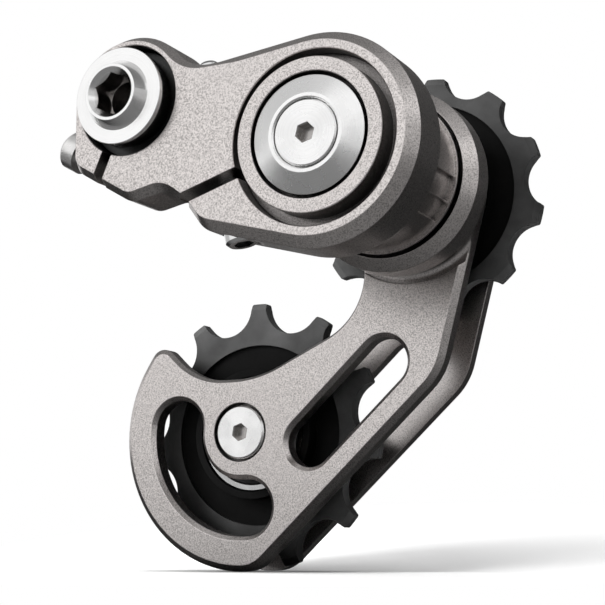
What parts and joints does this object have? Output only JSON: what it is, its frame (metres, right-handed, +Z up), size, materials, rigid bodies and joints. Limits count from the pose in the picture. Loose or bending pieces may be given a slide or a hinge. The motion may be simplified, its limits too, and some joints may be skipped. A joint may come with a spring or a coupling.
{
  "type": "bicycle chain tensioner",
  "caption": "Sprung bicycle chain tensioner: clamped arm on a hanger bolt, cylindrical spring housing and a slotted cage with two toothed pulleys.",
  "frame": {"origin": "on the hanger bolt's axis, in the plane where the bushing's flange seats on the frame's hanger", "axes": "+X towards the front of the bicycle, +Y inboard along every axle, +Z up"},
  "size_m": [0.0832, 0.0642, 0.0921],
  "materials": {
    "frame_metal": "bead-blasted, warm grey anodised",
    "black_metal": "black, satin",
    "polished_steel": "turned and polished",
    "bright_steel": "bright",
    "bearing_steel": "ground",
    "spring_steel": "oiled",
    "shield_black": "matt",
    "pulley_black": "machined acetal",
    "bush_plastic": "matt"
  },
  "bodies": {
    "hanger": {"hanger_bolt": "polished_steel", "hanger_bushing": "black_metal"},
    "arm": {"arm": "frame_metal", "hanger_pinch_bolt": "black_metal", "housing_pinch_bolt": "bright_steel"},
    "housing": {"spring_housing": "frame_metal", "front_bush": "bush_plastic", "rear_bush": "bush_plastic", "torsion_spring": "spring_steel"},
    "cage": {"outer_cage_plate": "frame_metal", "inner_cage_plate": "frame_metal", "pivot_axle": "bearing_steel", "end_cap": "polished_steel", "cap_screw": "polished_steel", "upper_pulley_bolt": "polished_steel", "lower_pulley_bolt": "polished_steel", "upper_front_spacer": "frame_metal", "upper_rear_spacer": "frame_metal", "upper_inner_race": "bearing_steel", "lower_front_spacer": "frame_metal", "lower_rear_spacer": "frame_metal", "lower_inner_race": "bearing_steel"},
    "upper_wheel": {"upper_pulley": "pulley_black", "upper_outer_race": "bearing_steel", "upper_bearing_balls": "bright_steel", "upper_front_shield": "shield_black", "upper_rear_shield": "shield_black"},
    "lower_wheel": {"lower_pulley": "pulley_black", "lower_outer_race": "bearing_steel", "lower_bearing_balls": "bright_steel", "lower_front_shield": "shield_black", "lower_rear_shield": "shield_black"}
  },
  "joints": [
    {"name": "arm_swivel", "type": "hinge", "parent": "hanger", "child": "arm", "pos_m": [0, -0.00787, 0], "axis": [0, 1, 0], "range_deg": [-45, 45]},
    {"name": "housing_preload", "type": "hinge", "parent": "arm", "child": "housing", "pos_m": [0.03516, -0.00787, -0.01096], "axis": [0, 1, 0], "range_deg": [-60, 60]},
    {"name": "cage_pivot", "type": "hinge", "parent": "housing", "child": "cage", "pos_m": [0.03516, 0.0058, -0.01096], "axis": [0, -1, 0], "range_deg": [0, 100], "stiffness_Nm_per_rad": 0.35, "springref_deg": -57.3, "deforming": ["torsion_spring"]},
    {"name": "upper_pulley_spin", "type": "hinge", "parent": "cage", "child": "upper_wheel", "pos_m": [0.03516, 0.0357, -0.01026], "axis": [0, 1, 0], "continuous": true},
    {"name": "lower_pulley_spin", "type": "hinge", "parent": "cage", "child": "lower_wheel", "pos_m": [-0.00022, 0.0357, -0.05376], "axis": [0, 1, 0], "continuous": true}
  ]
}
